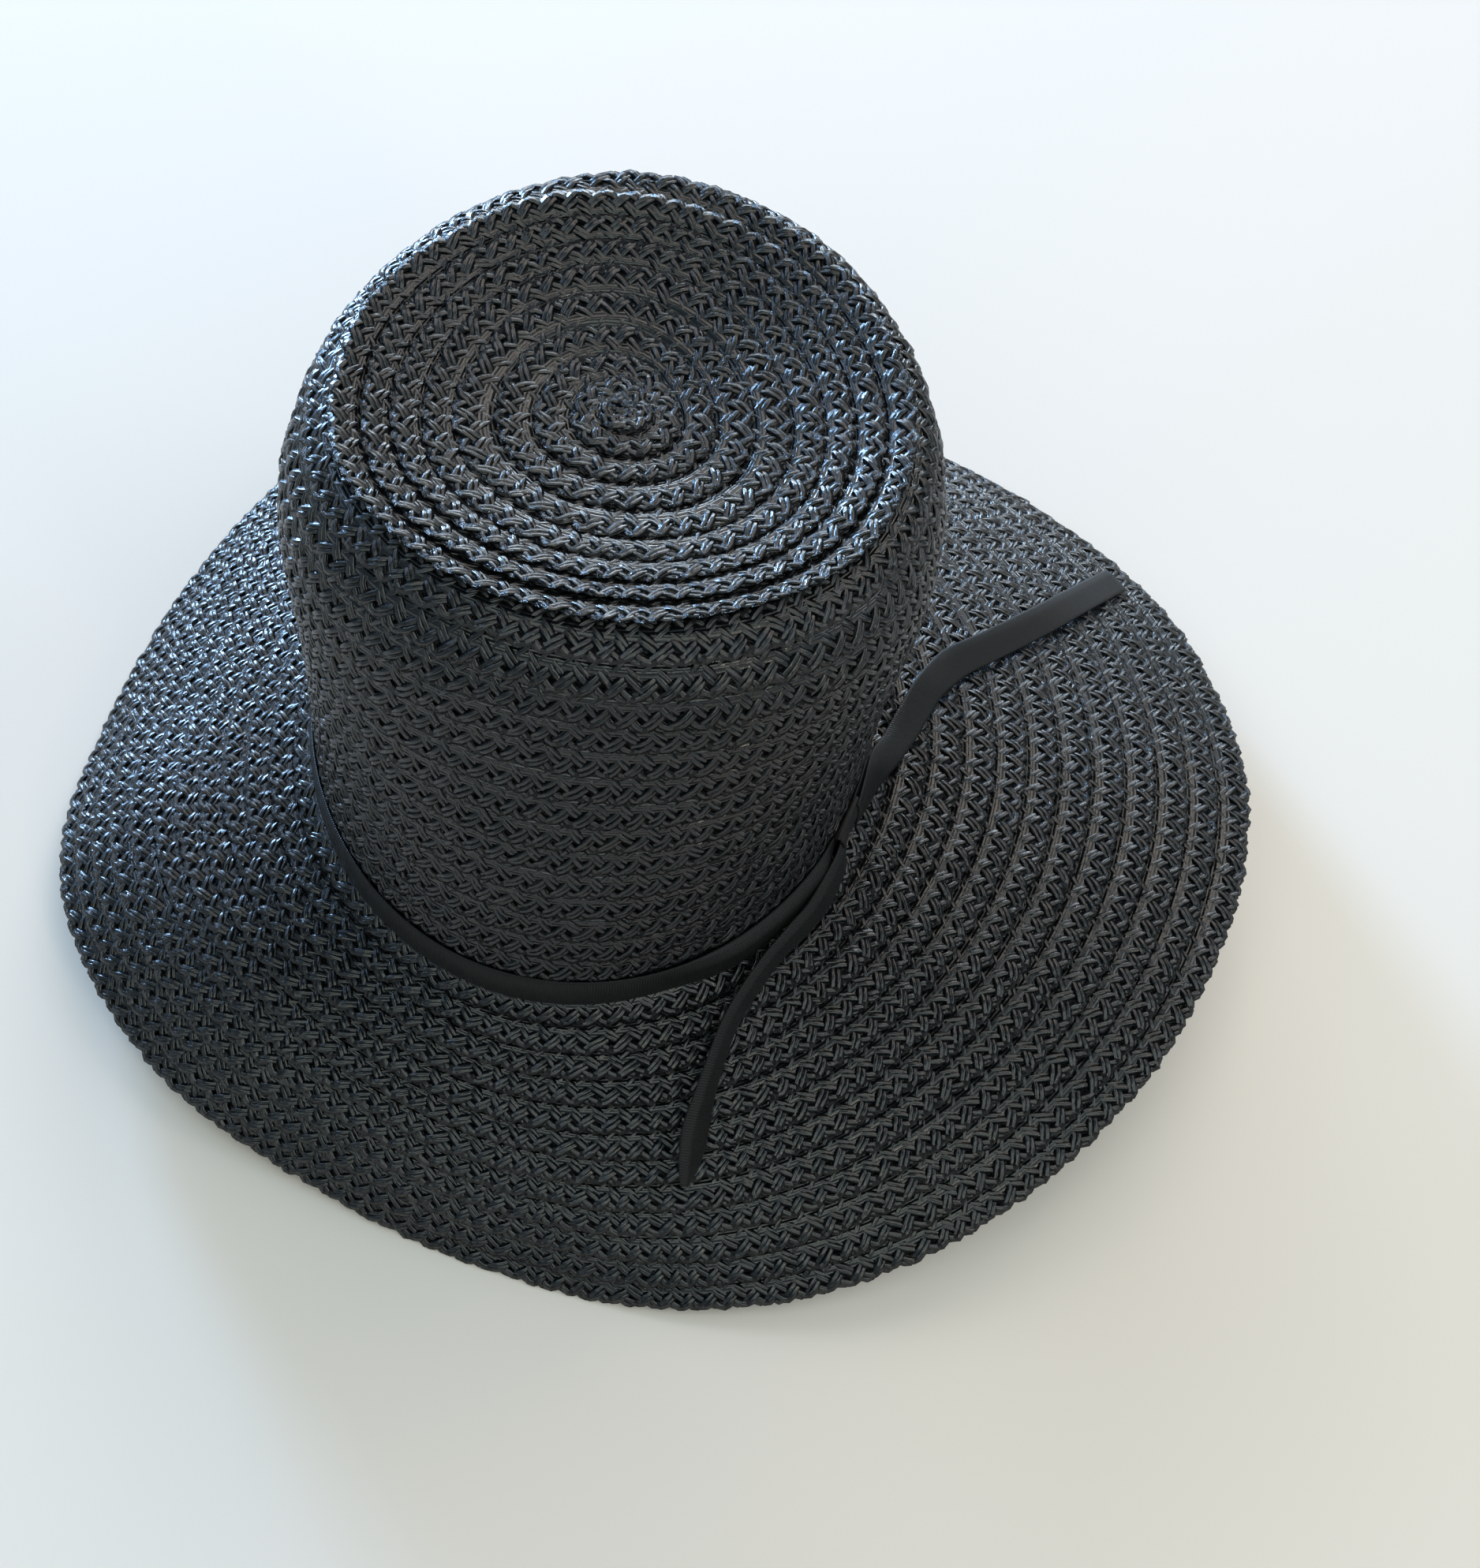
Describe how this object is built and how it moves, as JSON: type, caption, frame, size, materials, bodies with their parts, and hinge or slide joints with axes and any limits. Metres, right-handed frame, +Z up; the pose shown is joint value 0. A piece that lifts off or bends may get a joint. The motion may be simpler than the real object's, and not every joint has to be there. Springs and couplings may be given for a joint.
{
  "type": "brimmed sun hat",
  "caption": "Wide-brimmed dark hat of sewn straw braid with a tall dished crown, a brim folded down at the front left, and a narrow ribbon with loose tails.",
  "frame": {"origin": "on the floor under the middle of the hat's outline", "axes": "+Z up through the crown, +X to the wide side of the brim with the ribbon's knot, -Y to the front, where the brim folds down"},
  "size_m": [0.3748, 0.375, 0.206],
  "materials": {
    "braid": "glossy dark plaited straw",
    "ribbon": "smooth matt ribbon"
  },
  "bodies": {
    "root": {"crown": "braid", "brim": "braid", "hat_band": "ribbon", "band_knot": "ribbon", "band_tail_back": "ribbon", "band_tail_front": "ribbon"}
  },
  "joints": []
}
